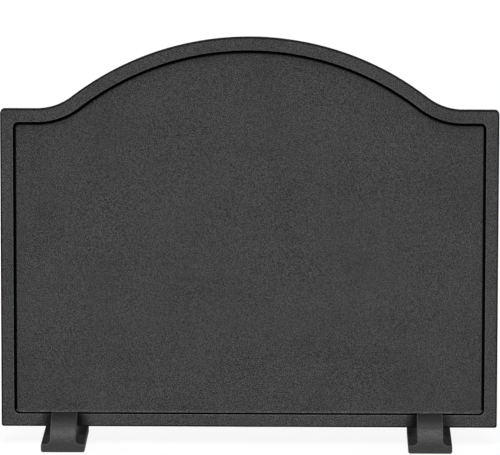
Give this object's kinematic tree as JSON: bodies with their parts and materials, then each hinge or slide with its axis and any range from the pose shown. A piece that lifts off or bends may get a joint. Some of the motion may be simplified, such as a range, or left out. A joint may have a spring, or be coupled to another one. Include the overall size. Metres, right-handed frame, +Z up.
{
  "type": "fireback",
  "caption": "Arched cast-iron fireback plate with a raised rim round a flat panel, standing upright in slotted cast feet.",
  "frame": {"origin": "on the hearth, under the middle of the plate's width and of its thickness", "axes": "+X along the plate's width, to the right as seen from the front; +Y to the back, through the plate's thickness; +Z up. The rim and the recessed panel face -Y."},
  "size_m": [0.61, 0.125, 0.5045],
  "materials": {
    "plate_iron": "matt black high-temperature paint over a grained sand-cast surface",
    "foot_iron": "matt black high-temperature paint over a smoother cast surface"
  },
  "bodies": {
    "left_foot_body": {"left_foot": "foot_iron"},
    "plate_body": {"fireback_plate": "plate_iron"},
    "right_foot_body": {"right_foot": "foot_iron"}
  },
  "joints": [
    {"name": "plate_lift", "type": "slide", "parent": "left_foot_body", "child": "plate_body", "axis": [0, 0, 1], "range_m": [0, 0.05]},
    {"name": "right_foot_release", "type": "slide", "parent": "plate_body", "child": "right_foot_body", "axis": [0, 0, -1], "range_m": [0, 0.05]}
  ],
  "couplings": [
    {"joint": "right_foot_release", "follows": "plate_lift", "ratio": 1}
  ]
}
